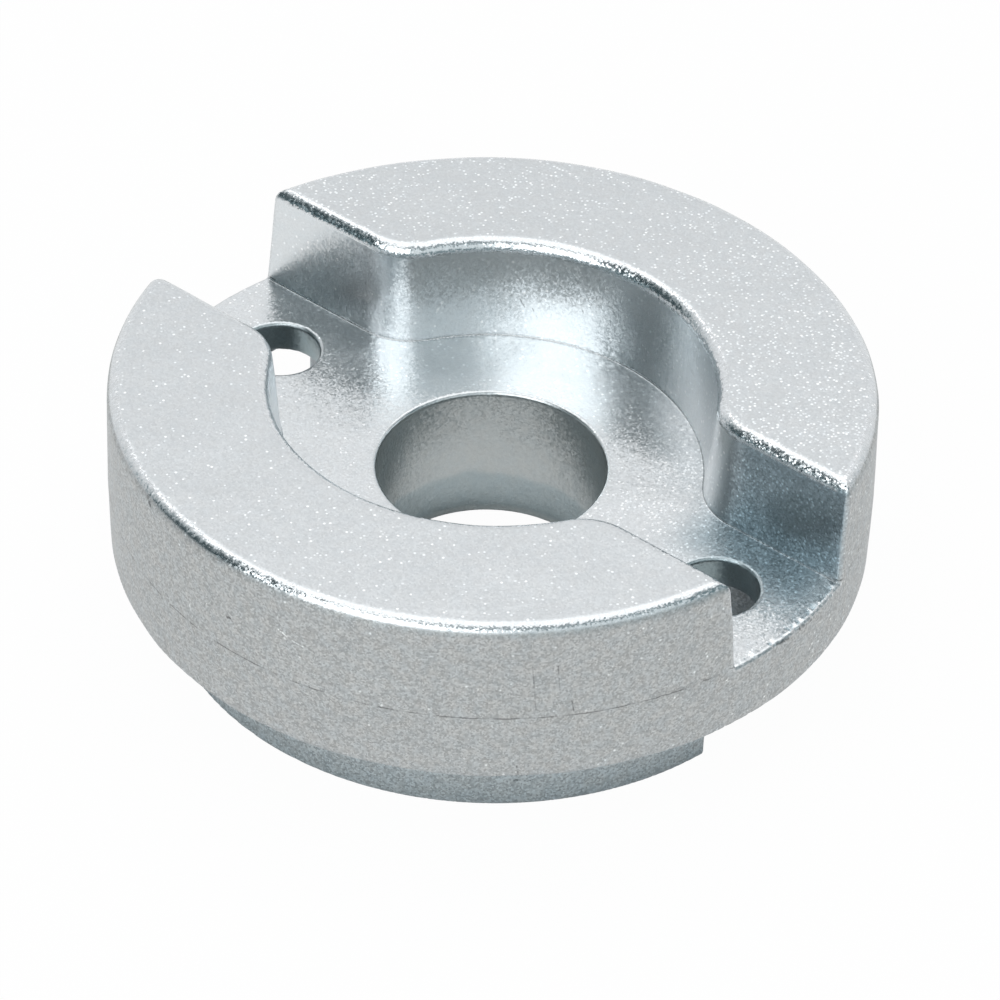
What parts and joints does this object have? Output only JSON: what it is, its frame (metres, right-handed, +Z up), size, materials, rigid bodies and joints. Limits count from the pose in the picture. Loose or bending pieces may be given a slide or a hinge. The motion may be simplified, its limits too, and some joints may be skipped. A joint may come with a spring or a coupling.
{
  "type": "sacrificial anode",
  "caption": "Round cast zinc thruster anode: a stepped disc with a central bore, a cross channel between two raised crescents, and screw holes in the channel's floor.",
  "frame": {"origin": "centre of the spigot's flat end face, which the part stands on", "axes": "+Z up along the bore, from the spigot to the crescents; +X along the channel, through both screw holes; +Y towards one crescent"},
  "size_m": [0.0644, 0.0644, 0.0226],
  "materials": {
    "cast_zinc": "as cast, satin with a fine bright grain"
  },
  "bodies": {
    "root": {"anode_casting": "cast_zinc"}
  },
  "joints": []
}
